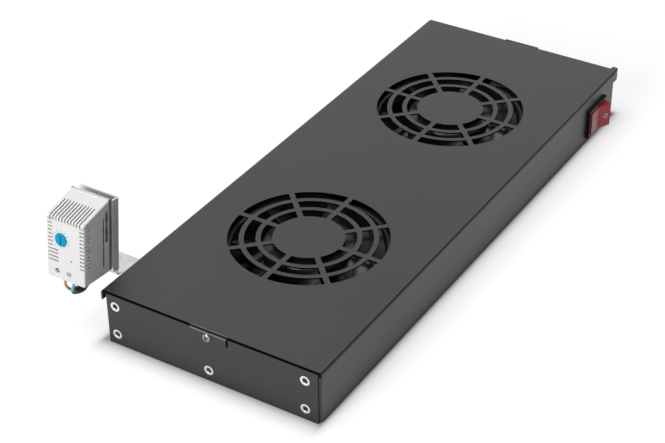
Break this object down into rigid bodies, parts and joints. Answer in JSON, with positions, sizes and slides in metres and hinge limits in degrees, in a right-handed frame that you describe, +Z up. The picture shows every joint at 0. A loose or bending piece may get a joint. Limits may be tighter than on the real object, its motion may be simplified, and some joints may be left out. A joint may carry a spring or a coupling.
{
  "type": "rack fan unit",
  "caption": "Flat 19 inch rack fan unit: black sheet steel housing with round grilles over axial fans, a lit rocker switch and a thermostat on a side bracket.",
  "frame": {"origin": "centre of the housing's underside", "axes": "+X along the housing away from the end beside the thermostat, +Y towards the wall that carries the thermostat and the inlet, +Z up"},
  "size_m": [0.4917, 0.2351, 0.1008],
  "materials": {
    "bearing_steel": "ground",
    "black_rubber": "matt",
    "black_sheath": "smooth",
    "black_steel": "satin fine powder coat",
    "blue_core": "smooth",
    "brass": "plain",
    "brown_core": "smooth",
    "copper": "varnished copper wire",
    "core_steel": "stacked sheets",
    "fan_black": "black paint on a casting",
    "galvanised": "galvanised sheet",
    "impeller_black": "moulded",
    "knob_blue": "moulded, half gloss",
    "light_plastic": "light grey moulding, fine texture",
    "rivet_aluminium": "plain",
    "rocker_red": "translucent red, glossy",
    "rotor_steel": "black paint",
    "spring_steel": "ground",
    "strip_plastic": "natural",
    "switch_black": "moulded, half gloss",
    "zinc": "bright zinc plate"
  },
  "bodies": {
    "housing": {"base_tray": "black_steel", "bracket_screws": "zinc", "cover_screws": "zinc", "din_rail": "galvanised", "earth_nut": "zinc", "earth_stud": "zinc", "end_nuts": "zinc", "end_screws": "zinc", "fan_nuts": "zinc", "fan_studs": "zinc", "far_end_plate": "black_steel", "far_fan_bearings": "bearing_steel", "far_fan_coil": "copper", "far_fan_frame": "fan_black", "far_fan_stator": "core_steel", "far_fan_terminals": "brass", "inlet_body": "switch_black", "inlet_pins": "brass", "inlet_screws": "zinc", "lead_grommet": "black_rubber", "near_end_plate": "black_steel", "near_fan_bearings": "bearing_steel", "near_fan_coil": "copper", "near_fan_frame": "fan_black", "near_fan_stator": "core_steel", "near_fan_terminals": "brass", "panel_nuts": "zinc", "rail_rivets": "rivet_aluminium", "switch_body": "switch_black", "switch_terminals": "brass", "terminal_block": "strip_plastic", "terminal_inserts": "zinc", "thermostat_base": "light_plastic", "thermostat_bimetal": "spring_steel", "thermostat_bracket": "galvanised", "thermostat_cover": "light_plastic", "thermostat_lead": "black_sheath", "thermostat_screws": "zinc", "thermostat_terminals": "brass", "top_cover": "black_steel", "wire_blue": "blue_core", "wire_brown": "brown_core"},
    "near_impeller": {"near_fan_impeller": "impeller_black", "near_fan_rotor": "rotor_steel", "near_fan_shaft": "spring_steel", "near_fan_clip": "spring_steel"},
    "far_impeller": {"far_fan_impeller": "impeller_black", "far_fan_rotor": "rotor_steel", "far_fan_shaft": "spring_steel", "far_fan_clip": "spring_steel"},
    "rocker": {"switch_rocker": "rocker_red"},
    "dial": {"thermostat_knob": "knob_blue"},
    "latch": {"thermostat_latch": "light_plastic"}
  },
  "joints": [
    {"name": "near_fan_spin", "type": "hinge", "parent": "housing", "child": "near_impeller", "pos_m": [-0.1095, 0, 0.0132], "axis": [0, 0, 1], "continuous": true},
    {"name": "far_fan_spin", "type": "hinge", "parent": "housing", "child": "far_impeller", "pos_m": [0.1095, 0, 0.0132], "axis": [0, 0, 1], "continuous": true},
    {"name": "rocker_tilt", "type": "hinge", "parent": "housing", "child": "rocker", "pos_m": [0.2002, -0.08945, 0.0179], "axis": [0, 0, 1], "range_deg": [0, 27]},
    {"name": "dial_turn", "type": "hinge", "parent": "housing", "child": "dial", "pos_m": [-0.2439, 0.1208, 0.07785], "axis": [-0.9936, 0, 0.1132], "range_deg": [-135, 135]},
    {"name": "latch_release", "type": "slide", "parent": "housing", "child": "latch", "axis": [-0.1132, 0, -0.9936], "range_m": [0, 0.003], "stiffness_N_per_m": 300}
  ]
}
